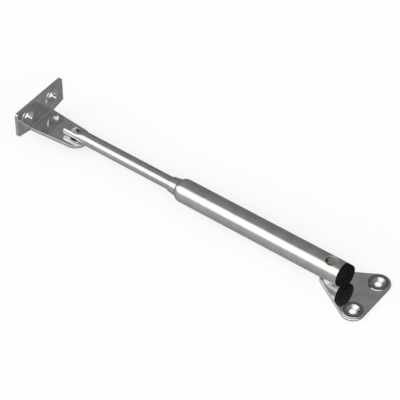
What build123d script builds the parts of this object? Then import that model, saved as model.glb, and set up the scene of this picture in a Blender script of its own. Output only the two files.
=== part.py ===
from build123d import *
import os

# Gas strut stay for a cabinet flap: a flat cabinet plate, a gas cylinder that
# turns on it, a hollow piston rod with a flattened end, and an L-shaped flap
# bracket that turns on the rod's end.
#
# Frame: origin midway between the cabinet plate's two fixing holes, on the face
# that lies against the cabinet. +Z leaves that face, and the strut runs along X,
# with the rod towards -X. The strut is at rest fully extended. Millimetres.

# ---- Driving dimensions -------------------------------------------------------

STAY_LENGTH = 230.0            # pivot to pivot, fully extended
STROKE = 73.0                  # pivot to pivot is 157 fully pressed in
AXIS_Z = 11.4                  # height of the cylinder's axis above the cabinet

CABINET_HOLE_PITCH = 32.0      # fixing holes of the cabinet plate
CABINET_PIVOT_X = -29.0        # pivot rivet of the cabinet plate
CABINET_PLATE_T = 1.8
CABINET_RIM_R = 1.0            # rounding of the plate's upper rim
CABINET_CORNER_R = 9.0
CABINET_LOBE_R = 8.25

FLAP_PIVOT_X = CABINET_PIVOT_X - STAY_LENGTH
FLAP_SHEET_T = 2.5
FLAP_REACH = 33.5              # flap pivot to the front face of the upright plate
FLAP_HOLE_PITCH = 28.0
FLAP_HOLE_Z = 20.0
FLAP_WIDTH = 52.0
FLAP_TOP_Z = 29.6
FLAP_EAR_Z = 8.3               # lower corners of the upright plate
TONGUE_TOP_Z = 8.1
TONGUE_ROOT_W = 26.0
TONGUE_END_R = 10.3
BEND_R = 1.1                   # inside radius of the bracket's fold
TONGUE_RIM_R = 0.45            # rounding of the tongue's upper rim

PAD_R = 7.8                    # raised pad round each fixing hole
PAD_H = 0.5
PAD_SLOPE = 0.55               # how much smaller a pad's radius is at its top
SCREW_HOLE_R = 2.5
COUNTERSINK_R = 5.3
COUNTERSINK_DEPTH = 1.9

TUBE_R = 9.0
TUBE_WALL = 1.0
TUBE_END_X = -20.0             # open end of the tube, under the cap
NOSE_START_X = -157.5          # where the swaged nose begins
NOSE_END_X = -162.5
NOSE_R = 7.0
CAP_END_X = -14.8

ROD_R = 5.0
ROD_WALL = 1.0
ROD_INNER_END_X = -135.7
ROD_FLAT_W = 9.3               # width of the flattened end
ROD_FLAT_H = 6.0               # height of the flattened end
ROD_FLAT_Z = 11.6              # middle of its height
ROD_FLAT_CORNER_R = 2.75       # rounding of its section
ROD_FLAT_HOLLOW_R = 1.0        # and of the hollow inside it
ROD_RAMP_X = (-248.5, -243.5)  # the underside rises over the tongue between these
ROD_FLAT_START_X = -250.5      # the upper side is round up to here
ROD_FLAT_FULL_X = -257.5       # and fully flat from here on
ROD_END_MARGIN = 8.5           # flap pivot to the rod's cut end

FIT = 0.05                     # running clearance on a radius, or between flat faces
SNUG = 0.02                    # clearance of parts that do not move in each other

CABINET_RIVET_R = 2.5
CABINET_RIVET_HEAD_R = 4.25
CABINET_BUSH_R = 3.5
CABINET_BUSH_FLANGE_R = 5.0
CABINET_WASHER_R = 5.5
ACCESS_HOLE_R = 4.8            # opening over the cabinet rivet

FLAP_RIVET_R = 2.0
FLAP_RIVET_HEAD_R = 2.7
FLAP_BUSH_R = 2.45
FLAP_BUSH_FLANGE_R = 2.95
FLAP_WASHER_R = 4.6
FLAP_ACCESS_HOLE_R = 3.3

# ---- Derived dimensions -------------------------------------------------------

TUBE_BORE_R = TUBE_R - TUBE_WALL
ROD_BORE_R = ROD_R - ROD_WALL
NOSE_BORE_R = NOSE_R - TUBE_WALL
FLAP_FRONT_X = FLAP_PIVOT_X - FLAP_REACH
FLAP_BACK_X = FLAP_FRONT_X - FLAP_SHEET_T
TONGUE_UNDER_Z = TONGUE_TOP_Z - FLAP_SHEET_T
ROD_TIP_X = FLAP_PIVOT_X - ROD_END_MARGIN
ROD_UNDER_Z = ROD_FLAT_Z - ROD_FLAT_H / 2


BASE = (Align.CENTER, Align.CENTER, Align.MIN)
TOP = (Align.CENTER, Align.CENTER, Align.MAX)


# ---- Helpers ------------------------------------------------------------------

def turned(*outline):
    """Solid of revolution about the strut's axis, from (x, radius) points."""
    return Pos(0, 0, AXIS_Z) * revolve(make_face(Polyline(*outline, close=True)), Axis.X)


def sleeve(x_low, x_high, r_in, r_out):
    """Plain ring on the strut's axis."""
    return turned((x_low, r_in), (x_low, r_out), (x_high, r_out), (x_high, r_in))


def o_ring(x, r_mid, r_cord):
    """Rubber ring of round section on the strut's axis."""
    return Pos(x, 0, AXIS_Z) * Rot(0, 90, 0) * Torus(r_mid, r_cord)


def upright(x, radius, z_low, z_high):
    """Cylinder standing along Z on the strut's centre plane."""
    return Pos(x, 0, (z_low + z_high) / 2) * Cylinder(radius, z_high - z_low)


def spun(x, *outline):
    """Solid of revolution about the vertical line at x, from (radius, z) points."""
    points = [(radius, 0, z) for radius, z in outline]
    return Pos(x, 0, 0) * revolve(make_face(Polyline(*points, close=True)), Axis.Z)


def barrel(radius, x_low, x_high):
    """Plain cylinder on the strut's axis."""
    return turned((x_low, 0), (x_low, radius), (x_high, radius), (x_high, 0))


def with_screw_holes(sheet, places, sheet_t):
    """Gives a sheet a raised pad with a countersunk hole at each place on its front face.

    Each place has its Z across the sheet and its origin on the front face.
    """
    for place in places:
        sheet += place * Cone(PAD_R, PAD_R - PAD_SLOPE, PAD_H, align=BASE)
    for place in places:
        hole = Cylinder(SCREW_HOLE_R, 3 * sheet_t)
        cone = Cone(SCREW_HOLE_R, COUNTERSINK_R, COUNTERSINK_DEPTH, align=TOP)
        sheet -= place * (hole + Pos(0, 0, PAD_H) * cone)
    return sheet


# ---- Cabinet plate and its pivot ----------------------------------------------

def cabinet_plate():
    """Rounded triangle with two countersunk holes and a lobe for the rivet."""
    half = CABINET_HOLE_PITCH / 2
    rounds = [(0, half, CABINET_CORNER_R), (0, -half, CABINET_CORNER_R),
              (CABINET_PIVOT_X, 0, CABINET_LOBE_R)]
    edges = ShapeList()
    for x, y, radius in rounds:
        edges += (Pos(x, y) * Circle(radius)).edges()
    plate = extrude(make_hull(edges), CABINET_PLATE_T)
    plate = fillet(plate.edges().group_by(Axis.Z)[-1], CABINET_RIM_R)
    places = [Pos(0, half, CABINET_PLATE_T), Pos(0, -half, CABINET_PLATE_T)]
    plate = with_screw_holes(plate, places, CABINET_PLATE_T)
    return plate - cabinet_rivet_shape(SNUG)


def cabinet_rivet_shape(grow):
    """Countersunk tail flush under the plate, and the shank; grow widens it for its hole."""
    tail_r = 1.5 * CABINET_RIVET_R + grow
    shank_r = CABINET_RIVET_R + grow
    top_z = CABINET_PLATE_T + 3.45
    tail_h = tail_r - shank_r
    return spun(CABINET_PIVOT_X, (0, 0), (tail_r, 0), (shank_r, tail_h), (shank_r, top_z), (0, top_z))


def cabinet_rivet():
    """Pivot rivet with a low domed head inside the tube."""
    base_z = CABINET_PLATE_T + 3.4 + FIT
    head_r = CABINET_RIVET_HEAD_R
    head = spun(CABINET_PIVOT_X, (0, base_z), (head_r, base_z), (head_r, base_z + 0.7),
                (0.72 * head_r, base_z + 1.5), (0.4 * head_r, base_z + 1.75), (0, base_z + 1.75))
    return cabinet_rivet_shape(0) + head


def cabinet_pivot_washer():
    """Saddle washer: flat on the plate, hollowed to the tube's round underside."""
    low_z = CABINET_PLATE_T + FIT
    high_z = low_z + 2.2
    block = upright(CABINET_PIVOT_X, CABINET_WASHER_R, low_z, high_z)
    block -= upright(CABINET_PIVOT_X, CABINET_BUSH_R + SNUG, 0, high_z + 1)
    return block - barrel(TUBE_R + SNUG, TUBE_END_X - 30, TUBE_END_X + 10)


def cabinet_pivot_bush():
    """Bush through the tube's lower wall, with a saddle flange inside the tube."""
    top_z = CABINET_PLATE_T + 3.4
    flange = upright(CABINET_PIVOT_X, CABINET_BUSH_FLANGE_R, CABINET_PLATE_T, top_z)
    flange &= barrel(TUBE_BORE_R - SNUG, TUBE_END_X - 30, TUBE_END_X)
    neck = upright(CABINET_PIVOT_X, CABINET_BUSH_R, CABINET_PLATE_T + FIT, top_z)
    return flange + neck - upright(CABINET_PIVOT_X, CABINET_RIVET_R + FIT, 0, top_z + 1)


# ---- Cylinder -----------------------------------------------------------------

RETAINER_X = -38.4             # face of the base plug that the snap ring holds
RETAINER_T = 1.1
RETAINER_GROOVE_R = TUBE_BORE_R + 0.5


def tube_profile(radius, nose_radius):
    """Line and tangent arc of one wall of the tube, from the open end to the nose."""
    wall = Line((TUBE_END_X, radius), (NOSE_START_X, radius))
    shoulder = TangentArc((NOSE_START_X, radius), (NOSE_END_X, nose_radius), tangent=(-1, 0))
    return wall, shoulder


def cylinder_tube():
    """Pressure tube with a swaged nose and the openings of the cabinet pivot."""
    outer = tube_profile(TUBE_R, NOSE_R)
    inner = tube_profile(TUBE_BORE_R, NOSE_BORE_R)
    mouth = Line((NOSE_END_X, NOSE_BORE_R), (NOSE_END_X, NOSE_R))
    tail = Line((TUBE_END_X, TUBE_BORE_R), (TUBE_END_X, TUBE_R))
    tube = Pos(0, 0, AXIS_Z) * revolve(make_face([*outer, *inner, mouth, tail]), Axis.X)
    tube -= upright(CABINET_PIVOT_X, ACCESS_HOLE_R, AXIS_Z, AXIS_Z + TUBE_R + 1)
    tube -= upright(CABINET_PIVOT_X, CABINET_BUSH_R + SNUG, 0, AXIS_Z)
    groove_low = RETAINER_X
    return tube - sleeve(groove_low, groove_low + RETAINER_T + SNUG, TUBE_BORE_R - 1, RETAINER_GROOVE_R)


def tube_end_cap():
    """Plastic cap with a chamfered rim, held by a hollow spigot with a snap bead."""
    rim, bead, wall = 1.1, 0.25, 1.6
    spigot_r, spigot_end = TUBE_BORE_R - 0.3, TUBE_END_X - 3.6
    return turned(
        (TUBE_END_X + SNUG, TUBE_R - 0.05), (CAP_END_X - rim, TUBE_R - 0.05),
        (CAP_END_X - 0.35 * rim, TUBE_R - 0.45 * rim), (CAP_END_X, TUBE_R - 1.5 * rim),
        (CAP_END_X, 0), (TUBE_END_X + 1.5, 0), (TUBE_END_X + 1.5, spigot_r - wall),
        (spigot_end, spigot_r - wall), (spigot_end, spigot_r - 0.3), (spigot_end + 0.4, spigot_r),
        (spigot_end + 1.4, spigot_r + bead), (spigot_end + 2.4, spigot_r), (TUBE_END_X + SNUG, spigot_r))


def base_plug():
    """Metal plug that closes the gas space, grooved for its O-ring."""
    low, high = STUD_END_X + STROKE + 1.3, RETAINER_X - SNUG
    r, groove_r = TUBE_BORE_R - FIT, TUBE_BORE_R - 1.9
    return turned((low, 0), (low, r - 0.5), (low + 0.5, r), (low + 2, r), (low + 2, groove_r),
                  (low + 4.2, groove_r), (low + 4.2, r), (high, r), (high, 0))


def base_plug_o_ring():
    """O-ring in the base plug's groove."""
    return o_ring(STUD_END_X + STROKE + 4.4, TUBE_BORE_R - 0.97, 0.9)


def retaining_ring():
    """Open snap ring in the tube's groove behind the base plug."""
    ring = sleeve(RETAINER_X, RETAINER_X + RETAINER_T, TUBE_BORE_R - 1.6, RETAINER_GROOVE_R - SNUG)
    return ring - Pos(RETAINER_X, 0, AXIS_Z + TUBE_R) * Box(4, 5, TUBE_R)


# ---- Rod guide and seals, front to back -----------------------------------------

HEAD_FRONT_X = -170.0
HEAD_FRONT_R = 5.75
HEAD_BACK_R = 6.7
WIPER_X = (-169.2, -166.8)
WIPER_R = 5.45
GUIDE_BACK_X = -152.0
BUSH_BACK_X = -144.0
SEAL_BACK_X = -140.0
SEAL_WASHER_BACK_X = -139.0
BUFFER_BACK_X = -136.0


def rod_guide():
    """Turned guide: its head stands out of the nose, its flange fills the tube."""
    bore, r = ROD_R + 0.1, TUBE_BORE_R - FIT
    neck_r = NOSE_BORE_R - FIT
    head_back = NOSE_END_X - 0.3
    guide = turned((HEAD_FRONT_X, bore), (HEAD_FRONT_X, HEAD_FRONT_R - 0.4),
                   (HEAD_FRONT_X + 0.4, HEAD_FRONT_R), (head_back - 0.4, HEAD_BACK_R),
                   (head_back, HEAD_BACK_R - 0.4), (head_back, neck_r), (NOSE_END_X + 0.5, neck_r),
                   (NOSE_START_X + 0.5, r - 0.2), (NOSE_START_X + 1, r), (GUIDE_BACK_X, r),
                   (GUIDE_BACK_X, bore))
    return guide - sleeve(WIPER_X[0], WIPER_X[1], ROD_R, WIPER_R + SNUG)


def rod_wiper():
    """Rubber wiper in the guide's head, with two lips."""
    low, high = WIPER_X[0] + SNUG, WIPER_X[1] - SNUG
    lip, root = ROD_R + FIT, ROD_R + 0.25
    middle = (low + high) / 2
    return turned((low, lip), (low, WIPER_R), (high, WIPER_R), (high, lip), (middle, root))


def guide_bush():
    """Bearing bush that the rod slides in."""
    return sleeve(GUIDE_BACK_X + SNUG, BUSH_BACK_X - SNUG, ROD_R + FIT, TUBE_BORE_R - FIT)


def rod_seal():
    """Pressure seal with a spread lip towards the gas."""
    low, high = BUSH_BACK_X + SNUG, SEAL_BACK_X - SNUG
    lip, r = ROD_R + FIT, TUBE_BORE_R - FIT
    groove = (ROD_R + TUBE_BORE_R) / 2
    return turned((low, lip), (low, r), (high, r), (high, groove + 0.6), (high - 1.8, groove),
                  (high, groove - 0.6), (high, lip))


def seal_washer():
    """Steel washer that backs the seal."""
    return sleeve(SEAL_BACK_X + SNUG, SEAL_WASHER_BACK_X - SNUG, ROD_R + 0.2, TUBE_BORE_R - FIT)


def rebound_buffer():
    """Soft ring that the piston meets at full extension."""
    low, high = SEAL_WASHER_BACK_X + SNUG, BUFFER_BACK_X
    r_in, r_out = ROD_R + 0.3, TUBE_BORE_R - 0.5
    return turned((low, r_in), (low, r_out), (high - 0.6, r_out), (high, r_out - 0.6),
                  (high, r_in + 0.6), (high - 0.6, r_in))


# ---- Piston rod, its flattened end and the flap pivot -----------------------------

def rod_section(x, flatness, shrink):
    """Rod's section at x, from round at flatness 0 to a flat oblong at flatness 1."""
    nearly_round = ROD_R - 0.1
    width = 2 * ROD_R + flatness * (ROD_FLAT_W - 2 * ROD_R)
    height = 2 * ROD_R + flatness * (ROD_FLAT_H - 2 * ROD_R)
    flat_corner = ROD_FLAT_HOLLOW_R if shrink else ROD_FLAT_CORNER_R
    round_corner = nearly_round - shrink
    corner = round_corner + flatness * (flat_corner - round_corner)
    z = AXIS_Z + flatness * (ROD_FLAT_Z - AXIS_Z)
    outline = RectangleRounded(width - 2 * shrink, height - 2 * shrink, corner)
    return Plane(origin=(x, 0, z), x_dir=(0, 1, 0), z_dir=(1, 0, 0)) * outline


def rod_body(shrink):
    """Round rod, squeezed flat towards its tip; shrink gives the hollow inside it."""
    steps = 4
    sections = []
    for i in range(steps + 1):
        part = i / steps
        ease = part * part * (3 - 2 * part)
        x = ROD_FLAT_START_X + part * (ROD_FLAT_FULL_X - ROD_FLAT_START_X)
        sections.append(rod_section(x, ease, shrink))
    squeeze = loft(sections)
    overrun = shrink           # the hollow runs out through the cut end
    flat = extrude(sections[-1], ROD_FLAT_FULL_X - ROD_TIP_X + overrun, dir=(-1, 0, 0))
    shank = barrel(ROD_R - shrink, ROD_FLAT_START_X, ROD_INNER_END_X)
    return shank + squeeze + flat


def above_underside(shrink):
    """Space above the rod's underside, which ramps up over the bracket's tongue."""
    low_z, flat_z = AXIS_Z - ROD_R + shrink, ROD_UNDER_Z + shrink
    ramp_end, ramp_start = ROD_RAMP_X
    far_x, near_x, high_z = ROD_TIP_X - 2, ROD_INNER_END_X + 1, 3 * AXIS_Z
    side = Polyline((far_x, 0, flat_z), (ramp_end, 0, flat_z), (ramp_start, 0, low_z),
                    (ramp_start, 0, 0), (near_x, 0, 0), (near_x, 0, high_z), (far_x, 0, high_z),
                    close=True)
    return extrude(make_face(side), 2 * ROD_R, dir=(0, 1, 0), both=True)


def piston_rod():
    """Hollow rod with the openings of the flap pivot in its flattened end."""
    outside, inside = (rod_body(shrink) & above_underside(shrink) for shrink in (0, ROD_WALL))
    rod = outside - inside - upright(FLAP_PIVOT_X, FLAP_ACCESS_HOLE_R, ROD_FLAT_Z, 3 * AXIS_Z)
    return rod - upright(FLAP_PIVOT_X, FLAP_BUSH_R + SNUG, 0, ROD_FLAT_Z)


def flap_pivot_washer():
    """Thin washer between the rod's flattened end and the bracket's tongue."""
    low_z, high_z = TONGUE_TOP_Z + FIT, ROD_UNDER_Z - SNUG
    washer = upright(FLAP_PIVOT_X, FLAP_WASHER_R, low_z, high_z)
    return washer - upright(FLAP_PIVOT_X, FLAP_BUSH_R + SNUG, 0, AXIS_Z)


def flap_pivot_bush():
    """Flanged bush through the rod's lower wall."""
    floor_z = ROD_UNDER_Z + ROD_WALL + SNUG
    neck = upright(FLAP_PIVOT_X, FLAP_BUSH_R, TONGUE_TOP_Z + FIT, floor_z + 0.6)
    flange = upright(FLAP_PIVOT_X, FLAP_BUSH_FLANGE_R, floor_z, floor_z + 0.6)
    return neck + flange - upright(FLAP_PIVOT_X, FLAP_RIVET_R + FIT, 0, AXIS_Z)


# ---- Piston ---------------------------------------------------------------------

PISTON_X = (-134.5, -127.5)
PISTON_GROOVE_X = (-132.4, -129.6)
PISTON_GROOVE_R = 6.05
DISC_BACK_X = -126.9
LOCK_WASHER_BACK_X = -126.1
NUT_BACK_X = -122.1
STUD_END_X = -121.3
STUD_R = 2.5


def piston_stud():
    """Plug pressed into the rod, with a stem that carries the piston."""
    bore = ROD_BORE_R - SNUG
    low = ROD_INNER_END_X - 14
    return turned((low, 0), (low, bore - 0.6), (low + 0.6, bore), (ROD_INNER_END_X, bore),
                  (ROD_INNER_END_X, STUD_R), (STUD_END_X - 0.5, STUD_R), (STUD_END_X, STUD_R - 0.5),
                  (STUD_END_X, 0))


def piston_washer():
    """Steel washer between the rod's end and the piston."""
    return sleeve(ROD_INNER_END_X + SNUG, PISTON_X[0] - SNUG, STUD_R + SNUG, 7.2)


def piston():
    """Plastic piston with a ring groove and four small gas passages."""
    low, high = PISTON_X
    groove_low, groove_high = PISTON_GROOVE_X
    r = TUBE_BORE_R - 0.08
    body = turned((low, STUD_R + SNUG), (low, r - 0.5), (low + 0.5, r), (groove_low, r),
                  (groove_low, PISTON_GROOVE_R), (groove_high, PISTON_GROOVE_R), (groove_high, r),
                  (high - 0.5, r), (high, r - 0.5), (high, STUD_R + SNUG))
    passage = Pos((low + high) / 2, 0, AXIS_Z) * Rot(0, 90, 0) * PolarLocations(4.3, 4)
    for place in passage:
        body -= place * Cylinder(0.6, 2 * (high - low))
    return body


def piston_ring():
    """Rubber ring that seals the piston against the tube."""
    groove_low, groove_high = PISTON_GROOVE_X
    low, high = groove_low + 0.1, groove_high - 0.1
    r_in, r_out = PISTON_GROOVE_R + FIT, TUBE_BORE_R - FIT / 2
    return turned((low, r_in), (low, r_out - 0.4), (low + 0.4, r_out), (high - 0.4, r_out),
                  (high, r_out - 0.4), (high, r_in))


def orifice_disc():
    """Thin disc that throttles the gas passages, with one fine hole."""
    disc = sleeve(PISTON_X[1] + SNUG, DISC_BACK_X - SNUG, STUD_R + SNUG, 6.2)
    return disc - Pos(PISTON_X[1], 0, AXIS_Z + 4.3) * Rot(0, 90, 0) * Cylinder(0.3, 4)


def lock_washer():
    """Split spring washer under the nut."""
    ring = sleeve(DISC_BACK_X + SNUG, LOCK_WASHER_BACK_X - SNUG, STUD_R + 0.1, 4.2)
    return ring - Pos(DISC_BACK_X, 4, AXIS_Z) * Box(4, 4, 0.5)


def piston_nut():
    """Hexagon nut that clamps the piston on its stud."""
    low, high = LOCK_WASHER_BACK_X + SNUG, NUT_BACK_X
    section = Plane(origin=(low, 0, AXIS_Z), x_dir=(0, 1, 0), z_dir=(1, 0, 0))
    nut = extrude(section * RegularPolygon(8 / 2, 6, major_radius=False), high - low)
    nut &= turned((low, 0), (low, 4), (low + 0.6, 4.7), (high - 0.6, 4.7), (high, 4), (high, 0))
    return nut - barrel(STUD_R + SNUG, low - 1, high + 1)


# ---- Flap bracket -----------------------------------------------------------------

def flap_sheet():
    """The bent strip over the bracket's full width: an L with a rounded fold."""
    half = FLAP_WIDTH / 2
    end_x = FLAP_PIVOT_X + TONGUE_END_R + 1
    outline = Polyline((FLAP_BACK_X, 0, FLAP_TOP_Z), (FLAP_BACK_X, 0, TONGUE_UNDER_Z),
                       (end_x, 0, TONGUE_UNDER_Z), (end_x, 0, TONGUE_TOP_Z),
                       (FLAP_FRONT_X, 0, TONGUE_TOP_Z), (FLAP_FRONT_X, 0, FLAP_TOP_Z), close=True)
    strip = extrude(make_face(outline), half, dir=(0, 1, 0), both=True)
    inner = strip.edges().filter_by(Axis.Y).sort_by_distance((FLAP_FRONT_X, 0, TONGUE_TOP_Z))[0]
    strip = fillet(inner, BEND_R)
    outer = strip.edges().filter_by(Axis.Y).sort_by_distance((FLAP_BACK_X, 0, TONGUE_UNDER_Z))[0]
    strip = fillet(outer, BEND_R + FLAP_SHEET_T)
    top = strip.edges().filter_by(Axis.Y).sort_by_distance((FLAP_FRONT_X, 0, FLAP_TOP_Z))[0]
    return fillet(top, 0.6)


def flap_blank():
    """Outline of the upright plate, and in plan the outline of the tongue."""
    half, root = FLAP_WIDTH / 2, TONGUE_ROOT_W / 2
    face = Plane(origin=(FLAP_BACK_X, 0, 0), x_dir=(0, 1, 0), z_dir=(1, 0, 0))
    plate = make_face(Polyline((-half, FLAP_TOP_Z), (half, FLAP_TOP_Z), (half, FLAP_EAR_Z),
                               (root, TONGUE_UNDER_Z), (-root, TONGUE_UNDER_Z), (-half, FLAP_EAR_Z),
                               close=True))
    top = plate.vertices().group_by(Axis.Y)[-1]
    plate = fillet(top, 1.8)
    ears = plate.vertices().group_by(Axis.X)
    plate = fillet(ears[0].sort_by(Axis.Y)[:1] + ears[-1].sort_by(Axis.Y)[:1], 1.5)
    upright_part = extrude(face * plate, FLAP_SHEET_T)
    corner_r = 1.0
    plan = ShapeList((Pos(FLAP_PIVOT_X, 0) * Circle(TONGUE_END_R)).edges())
    for y in (root - corner_r, corner_r - root):
        plan += (Pos(FLAP_FRONT_X - 0.5, y) * Circle(corner_r)).edges()
    plan = make_hull(plan)
    tongue = extrude(plan, TONGUE_TOP_Z)
    tongue = fillet(tongue.edges().group_by(Axis.Z)[-1], TONGUE_RIM_R)
    fold_length = FLAP_SHEET_T + BEND_R
    fold = Pos(FLAP_BACK_X + fold_length / 2, 0, 0) * Box(fold_length, FLAP_WIDTH, 2 * FLAP_TOP_Z)
    return upright_part + tongue + (extrude(plan, FLAP_TOP_Z) & fold)


def flap_bracket():
    """Folded bracket with two countersunk holes and the tongue's pivot hole."""
    bracket = flap_sheet() & flap_blank()
    half = FLAP_HOLE_PITCH / 2
    places = [Pos(FLAP_FRONT_X, y, FLAP_HOLE_Z) * Rot(0, 90, 0) for y in (half, -half)]
    bracket = with_screw_holes(bracket, places, FLAP_SHEET_T)
    return bracket - upright(FLAP_PIVOT_X, FLAP_RIVET_R + SNUG, 0, AXIS_Z)


def flap_rivet():
    """Pivot rivet: a domed foot under the tongue and a low head inside the rod."""
    head_z = ROD_UNDER_Z + ROD_WALL + SNUG + 0.6 + FIT
    foot_z = TONGUE_UNDER_Z - SNUG
    head_r, foot_r = FLAP_RIVET_HEAD_R, 3.8
    return spun(FLAP_PIVOT_X, (0, foot_z - 1.4), (0.45 * foot_r, foot_z - 1.3), (0.8 * foot_r, foot_z - 0.9),
                (foot_r, foot_z - 0.3), (foot_r, foot_z), (FLAP_RIVET_R, foot_z), (FLAP_RIVET_R, head_z),
                (head_r, head_z), (head_r, head_z + 0.5), (0.7 * head_r, head_z + 1.2), (0, head_z + 1.4))


# ---- Output -------------------------------------------------------------------------

PARTS = [
    cabinet_plate, cabinet_rivet,
    cylinder_tube, tube_end_cap, cabinet_pivot_washer, cabinet_pivot_bush,
    base_plug, base_plug_o_ring, retaining_ring,
    rod_guide, rod_wiper, guide_bush, rod_seal, seal_washer, rebound_buffer,
    piston_rod, flap_pivot_washer, flap_pivot_bush,
    piston_stud, piston_washer, piston, piston_ring, orifice_disc, lock_washer, piston_nut,
    flap_bracket, flap_rivet,
]

os.makedirs("parts", exist_ok=True)
for make in PARTS:
    export_step(make(), f"parts/{make.__name__}.step")
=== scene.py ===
import math

import bpy
from mathutils import Matrix, Vector


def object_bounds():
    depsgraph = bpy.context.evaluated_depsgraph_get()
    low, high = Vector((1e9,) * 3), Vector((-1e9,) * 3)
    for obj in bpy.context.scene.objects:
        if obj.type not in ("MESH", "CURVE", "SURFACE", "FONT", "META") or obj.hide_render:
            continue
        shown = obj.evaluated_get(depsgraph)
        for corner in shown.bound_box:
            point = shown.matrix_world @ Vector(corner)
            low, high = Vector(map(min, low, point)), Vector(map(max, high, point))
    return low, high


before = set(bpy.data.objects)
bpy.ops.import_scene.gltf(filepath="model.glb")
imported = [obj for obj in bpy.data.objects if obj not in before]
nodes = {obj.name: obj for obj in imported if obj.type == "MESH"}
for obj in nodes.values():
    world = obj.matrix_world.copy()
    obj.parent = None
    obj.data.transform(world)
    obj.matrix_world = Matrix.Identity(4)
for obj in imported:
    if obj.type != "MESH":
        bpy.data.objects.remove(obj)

cad_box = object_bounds()
scene = bpy.context.scene

# ---- Camera ---------------------------------------------------------------------

AZIMUTH, ELEVATION, ROLL = 37.08, 45.05, -0.25    # degrees
DISTANCE = 1.6077                                 # metres from what it aims at
AIM_OFF_MIDDLE = Vector((-0.0021, 0.0016, -0.0065))
LENS, SENSOR_WIDTH = 200.7, 36.0                  # millimetres
CLIP_NEAR, CLIP_FAR = 0.05, 20.0


def towards(azimuth, elevation):
    """Unit vector from the stay to a viewer at that angle."""
    a, e = math.radians(azimuth), math.radians(elevation)
    return Vector((math.sin(a) * math.cos(e), -math.cos(a) * math.cos(e), math.sin(e)))


def make_camera():
    """Long lens at the photograph's viewing angle, aimed just off the middle of the stay."""
    back = towards(AZIMUTH, ELEVATION)
    target = (cad_box[0] + cad_box[1]) / 2 + AIM_OFF_MIDDLE
    data = bpy.data.cameras.new("camera")
    data.lens, data.sensor_width = LENS, SENSOR_WIDTH
    data.clip_start, data.clip_end = CLIP_NEAR, CLIP_FAR
    camera = bpy.data.objects.new("camera", data)
    roll = Matrix.Rotation(math.radians(ROLL), 3, "Z")
    facing = back.to_track_quat("Z", "Y").to_matrix() @ roll
    camera.matrix_world = Matrix.Translation(target + DISTANCE * back) @ facing.to_4x4()
    scene.collection.objects.link(camera)
    scene.camera = camera


# ---- Node helpers -----------------------------------------------------------------

class Tree:
    """Small builder for a node tree: adds nodes, sets sockets and makes links."""

    def __init__(self, owner):
        owner.use_nodes = True
        self.tree = owner.node_tree
        self.tree.nodes.clear()

    def add(self, kind, inputs=None, **settings):
        node = self.tree.nodes.new(kind)
        for key, value in settings.items():
            setattr(node, key, value)
        for key, value in (inputs or {}).items():
            if isinstance(value, bpy.types.NodeSocket):
                self.tree.links.new(value, node.inputs[key])
            else:
                node.inputs[key].default_value = value
        return node

    def xyz(self, vector):
        """The x, y and z of a vector."""
        return self.add("ShaderNodeSeparateXYZ", {0: vector}).outputs

    def dot(self, a, b):
        node = self.add("ShaderNodeVectorMath", {0: a, 1: b}, operation="DOT_PRODUCT")
        return node.outputs["Value"]

    def math(self, operation, a, b=0.0, c=0.0):
        return self.add("ShaderNodeMath", {0: a, 1: b, 2: c}, operation=operation).outputs[0]

    def rescale(self, value, low, high, to_low=0.0, to_high=1.0):
        """Value from low..high onto to_low..to_high, clamped at the ends."""
        node = self.add("ShaderNodeMapRange", {
            0: value, 1: low, 2: high, 3: to_low, 4: to_high})
        return node.outputs[0]

    def distance(self, a, b):
        """Length of the vector (a, b)."""
        squares = self.math("ADD", self.math("MULTIPLY", a, a), self.math("MULTIPLY", b, b))
        return self.math("SQRT", squares)

    def mix(self, factor, a, b):
        """Colour a at factor 0, colour b at factor 1."""
        node = self.add("ShaderNodeMix", {0: factor, 6: a, 7: b}, data_type="RGBA")
        return node.outputs[2]

    def ramp(self, value, stops):
        """Colour at that value, from stops of (place from 0 to 1, colour)."""
        node = self.add("ShaderNodeValToRGB", {0: value})
        band = node.color_ramp
        while len(band.elements) < len(stops):
            band.elements.new(0.5)
        for element, (place, colour) in zip(band.elements, stops):
            element.position = place
            element.color = colour
        return node.outputs["Color"]

    def noise(self, place, scale, detail=2.0, roughness=0.5):
        """Noise of 0 to 1 at that many waves per metre."""
        node = self.add("ShaderNodeTexNoise", {
            "Vector": place, "Scale": scale, "Detail": detail, "Roughness": roughness})
        return node.outputs[0]

    def stretched(self, place, x, y, z):
        """Place scaled along each axis, which draws a pattern out where the scale is small."""
        return self.add("ShaderNodeMapping", {"Vector": place, "Scale": (x, y, z)}).outputs[0]


# ---- Studio -------------------------------------------------------------------------

# What the steel mirrors: a plain studio in neutral grey, as (degrees from straight up
# towards +Y, brightness). One wide soft light hangs above on the -Y side, in a dim room.
ROOM = [(-180, 0.3), (-90, 0.5), (-70, 1.5), (-30, 1.5), (-10, 0.3), (60, 0.2),
        (100, 0.2), (180, 0.3)]
SOFT_LIGHT, KEY_LIGHT = 0.55, 3.0      # on matt surfaces, outside and inside the key
KEY_EDGES = ((-70, -60), (-20, -30))   # outer and inner edge on each side, in degrees

FLOOR_Z = -0.0004
FLOOR_HALF_WIDTH = 6.0
FLOOR_SHADE, FLOOR_GLOW = 0.28, 0.72   # how much of its white is lit, and how much glows


def turn(degrees):
    """Place on a ramp round the strut's axis of an angle from straight up, 0 to 1."""
    return (degrees + 180) / 360


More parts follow.
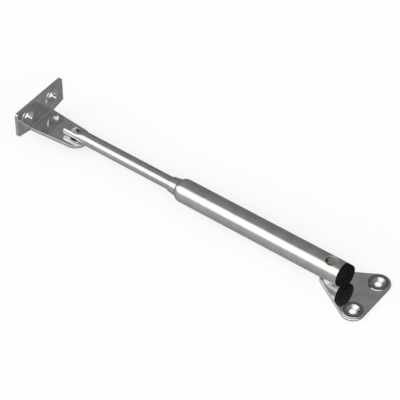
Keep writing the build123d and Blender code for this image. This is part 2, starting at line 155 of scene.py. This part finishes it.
def make_world():
    """Plain grey studio for what mirrors it, and soft light with a key for everything matt."""
    world = bpy.data.worlds.new("studio")
    n = Tree(world)
    _, y, z = n.xyz(n.add("ShaderNodeTexCoord").outputs["Generated"])
    place = n.math("MULTIPLY_ADD", n.math("ARCTAN2", y, z), 0.5 / math.pi, 0.5)
    room = n.ramp(place, [(turn(degrees), (grey, grey, grey, 1)) for degrees, grey in ROOM])
    mirrored = n.add("ShaderNodeBackground", {"Color": room})
    key = 1.0
    for outer, inner in KEY_EDGES:
        key = n.math("MULTIPLY", key, n.rescale(place, turn(outer), turn(inner)))
    strength = n.rescale(key, 0.0, 1.0, SOFT_LIGHT, KEY_LIGHT)
    soft = n.add("ShaderNodeBackground", {"Color": (1, 1, 1, 1), "Strength": strength})
    is_matt = n.add("ShaderNodeLightPath").outputs["Is Diffuse Ray"]
    light = n.add("ShaderNodeMixShader", {0: is_matt, 1: mirrored.outputs[0], 2: soft.outputs[0]})
    n.add("ShaderNodeOutputWorld", {"Surface": light.outputs[0]})
    scene.world = world


def floor_material():
    """Pale paper that partly glows, so that shadows on it stay faint."""
    material = bpy.data.materials.new("pale_floor")
    n = Tree(material)
    place = n.add("ShaderNodeTexCoord").outputs["Object"]
    shade = n.rescale(n.noise(place, 3.0), 0.3, 0.7, 0.98 * FLOOR_SHADE, 1.02 * FLOOR_SHADE)
    grey = n.add("ShaderNodeCombineColor", {0: shade, 1: shade, 2: shade}).outputs[0]
    paper = n.add("ShaderNodeBsdfDiffuse", {"Color": grey})
    glow = n.add("ShaderNodeEmission", {"Color": (1, 1, 1, 1), "Strength": FLOOR_GLOW})
    both = n.add("ShaderNodeAddShader", {0: paper.outputs[0], 1: glow.outputs[0]})
    n.add("ShaderNodeOutputMaterial", {"Surface": both.outputs[0]})
    return material


def make_floor():
    """Wide pale floor just under the stay, which the steel doesn't mirror."""
    half = FLOOR_HALF_WIDTH
    corners = [(-half, -half, 0), (half, -half, 0), (half, half, 0), (-half, half, 0)]
    mesh = bpy.data.meshes.new("floor")
    mesh.from_pydata(corners, [], [(0, 1, 2, 3)])
    mesh.materials.append(floor_material())
    floor = bpy.data.objects.new("floor", mesh)
    floor.location = (0, 0, FLOOR_Z)
    floor.visible_glossy = False
    scene.collection.objects.link(floor)


# ---- Materials ------------------------------------------------------------------------

AXIS_Z = 0.0114                        # height of the strut's axis
BEVEL_SAMPLES = 6
METAL_BEVEL, POLYMER_BEVEL = 0.0003, 0.00025
WORN_METAL = (0.93, 0.93, 0.91, 1)     # tone of rubbed edges
WORN_AMOUNT = 0.6
BORE_TONE, BORE_ROUGHNESS = (0.84, 0.87, 0.76, 1), 0.55
# Painted shade: how far the raised pads are darkened, standing in for a darker reflection on them
PAD_PAINTED_SHADE = 0.55
MASK_EDGE = 0.0003                     # height over which a mask fades in
BLACK = (0.0, 0.0, 0.0, 1.0)


def scaled(colour, factor, lift=0.0):
    """Colour made brighter or darker, with alpha 1."""
    return (*(min(1.0, factor * c + lift) for c in colour), 1)


def soft_edges(n, radius):
    """Normal rounded at the edges, and its cosine with the true one, 1 off the edges."""
    rounded = n.add("ShaderNodeBevel", {"Radius": radius}, samples=BEVEL_SAMPLES).outputs[0]
    sharp = n.add("ShaderNodeNewGeometry").outputs["Normal"]
    return rounded, n.dot(rounded, sharp)


def in_bore(n, place, radius, from_x):
    """1 within that radius of the strut's axis, on the +X side of from_x."""
    x, y, z = n.xyz(place)
    from_axis = n.distance(n.math("SUBTRACT", z, AXIS_Z), y)
    return n.math("MULTIPLY", n.rescale(from_axis, radius + 0.0002, radius),
                  n.rescale(x, from_x, from_x + 0.001))


def bumped(n, normal, height, distance, strength):
    node = n.add("ShaderNodeBump", {
        "Height": height, "Distance": distance, "Strength": strength, "Normal": normal})
    return node.outputs[0]


def metal_tone(n, colour, clouds, marks, bend):
    """Metal's colour: cloudy, with paler fine marks and rubbed edges."""
    tone = n.mix(n.rescale(clouds, 0.35, 0.7), scaled(colour, 0.80), (*colour, 1))
    tone = n.mix(n.rescale(marks, 0.35, 0.75, 0.0, 0.35), tone, scaled(colour, 1.08))
    edge = n.rescale(bend, 0.985, 0.90)
    return n.mix(n.math("MULTIPLY", edge, WORN_AMOUNT), tone, WORN_METAL)


def metal(name, colour, roughness, grain, grain_depth, stretch=(1, 1, 1), bloom=0.0, bore=None,
          painted_shade_above=None):
    """Plated or machined metal.

    grain is how many waves per metre its fine marks have, and stretch draws them out
    along an axis. bloom is how matt the plating is. bore is (radius, x): within that
    radius of the strut's axis, on the +X side of x, the metal is left dull. What stands
    higher than the pad height given is darkened as painted shade on the raised pads.
    """
    material = bpy.data.materials.new(name)
    n = Tree(material)
    place = n.add("ShaderNodeTexCoord").outputs["Object"]
    marks = n.noise(n.stretched(place, *stretch), grain, 4.0, 0.65)
    clouds = n.noise(place, 120.0, 3.0)
    rounded, bend = soft_edges(n, METAL_BEVEL)
    tone = metal_tone(n, colour, clouds, marks, bend)
    rough = n.math("ADD", n.rescale(marks, 0.3, 0.7, 0.75 * roughness, 1.35 * roughness),
                   n.rescale(clouds, 0.45, 0.7, 0.0, 0.35 * roughness))
    metallic = n.rescale(clouds, 0.3, 0.7, 1.0 - 0.7 * bloom, 1.0 - 1.3 * bloom)
    if bore:
        inside = in_bore(n, place, *bore)
        rough = n.math("MAXIMUM", rough, n.math("MULTIPLY", inside, BORE_ROUGHNESS))
        tone = n.mix(inside, tone, BORE_TONE)
        metallic = n.rescale(inside, 0.0, 1.0, 1.0, 0.0)
    # Painted shade: raised pads darkened to stand in for the darker reflection they show
    if painted_shade_above:
        painted_pads_mask = n.rescale(n.xyz(place)["Z"], painted_shade_above, painted_shade_above + MASK_EDGE)
        tone = n.mix(painted_pads_mask, tone, n.mix(PAD_PAINTED_SHADE, tone, BLACK))
    ripple = n.noise(n.stretched(place, 0.4, 1, 1), 90.0, 2.0)
    waves = bumped(n, rounded, ripple, 0.00002, 0.5)
    shader = n.add("ShaderNodeBsdfPrincipled", {
        "Base Color": tone, "Metallic": metallic, "Roughness": rough,
        "Normal": bumped(n, waves, marks, grain_depth, 0.6)})
    n.add("ShaderNodeOutputMaterial", {"Surface": shader.outputs[0]})
    return material


def polymer(name, colour, roughness, specular, grain, grain_depth):
    """Moulded plastic or rubber with a fine skin grain and paler, rubbed edges."""
    material = bpy.data.materials.new(name)
    n = Tree(material)
    place = n.add("ShaderNodeTexCoord").outputs["Object"]
    skin = n.noise(place, grain, 3.0, 0.6)
    clouds = n.noise(place, 150.0, 2.0)
    rounded, bend = soft_edges(n, POLYMER_BEVEL)
    rubbed = n.math("MULTIPLY", n.rescale(bend, 0.99, 0.9), n.rescale(skin, 0.4, 0.7))
    tone = n.mix(n.rescale(clouds, 0.35, 0.65), scaled(colour, 0.75), (*colour, 1))
    tone = n.mix(rubbed, tone, scaled(colour, 1.5, 0.015))
    rough = n.math("ADD", n.rescale(skin, 0.3, 0.7, 0.85 * roughness, 1.15 * roughness),
                   n.rescale(clouds, 0.4, 0.7, 0.0, 0.2 * roughness))
    shader = n.add("ShaderNodeBsdfPrincipled", {
        "Base Color": tone, "Roughness": rough, "Specular IOR Level": specular,
        "Normal": bumped(n, rounded, skin, grain_depth, 0.7)})
    n.add("ShaderNodeOutputMaterial", {"Surface": shader.outputs[0]})
    return material


NICKEL = (0.77, 0.775, 0.765)
ZINC = (0.79, 0.80, 0.785)
ALONG_X, ROUND_X = (0.12, 1, 1), (1, 0.1, 0.1)     # how marks are drawn out
MADE_OF = {
    metal("drawn_tube", NICKEL, 0.055, 900.0, 0.0000012, ALONG_X, bore=(0.0084, -0.156)): [
        "cylinder_tube"],
    metal("drawn_rod", NICKEL, 0.06, 1200.0, 0.000001, ALONG_X): ["piston_rod"],
    # the plate's raised pads above this height carry painted shade
    metal("plated_plate", ZINC, 0.06, 1100.0, 0.0000008, bloom=0.02, painted_shade_above=0.0019): [
        "cabinet_plate"],
    metal("plated_sheet", ZINC, 0.07, 1100.0, 0.000001, bloom=0.02): ["flap_bracket"],
    metal("turned_steel", NICKEL, 0.10, 3000.0, 0.0000015, ROUND_X): ["rod_guide"],
    metal("rivet_steel", (0.74, 0.74, 0.72), 0.16, 1800.0, 0.000003): [
        "cabinet_rivet", "flap_rivet"],
    metal("plain_steel", (0.56, 0.57, 0.58), 0.28, 2500.0, 0.000003, ROUND_X): [
        "base_plug", "seal_washer", "piston_stud", "piston_washer", "piston_nut"],
    metal("spring_steel", (0.34, 0.35, 0.37), 0.30, 1800.0, 0.000002): [
        "retaining_ring", "orifice_disc", "lock_washer"],
    polymer("black_plastic", (0.0105, 0.0086, 0.0084), 0.36, 0.015, 2200.0, 0.00001): [
        "tube_end_cap"],
    polymer("acetal", (0.78, 0.77, 0.72), 0.38, 0.5, 1500.0, 0.000006): [
        "cabinet_pivot_washer", "cabinet_pivot_bush", "guide_bush"],
    polymer("dark_nylon", (0.03, 0.031, 0.035), 0.5, 0.3, 2600.0, 0.00002): [
        "piston", "flap_pivot_washer", "flap_pivot_bush"],
    polymer("nitrile_rubber", (0.022, 0.022, 0.023), 0.55, 0.4, 1800.0, 0.00002): [
        "base_plug_o_ring", "rod_wiper", "rod_seal", "rebound_buffer", "piston_ring"],
}

for material, names in MADE_OF.items():
    for name in names:
        for slot in nodes[name].material_slots:
            slot.material = material

make_camera()
make_world()
make_floor()
scene.view_settings.view_transform = "Standard"
scene.cycles.max_bounces = 16
scene.cycles.glossy_bounces = 10
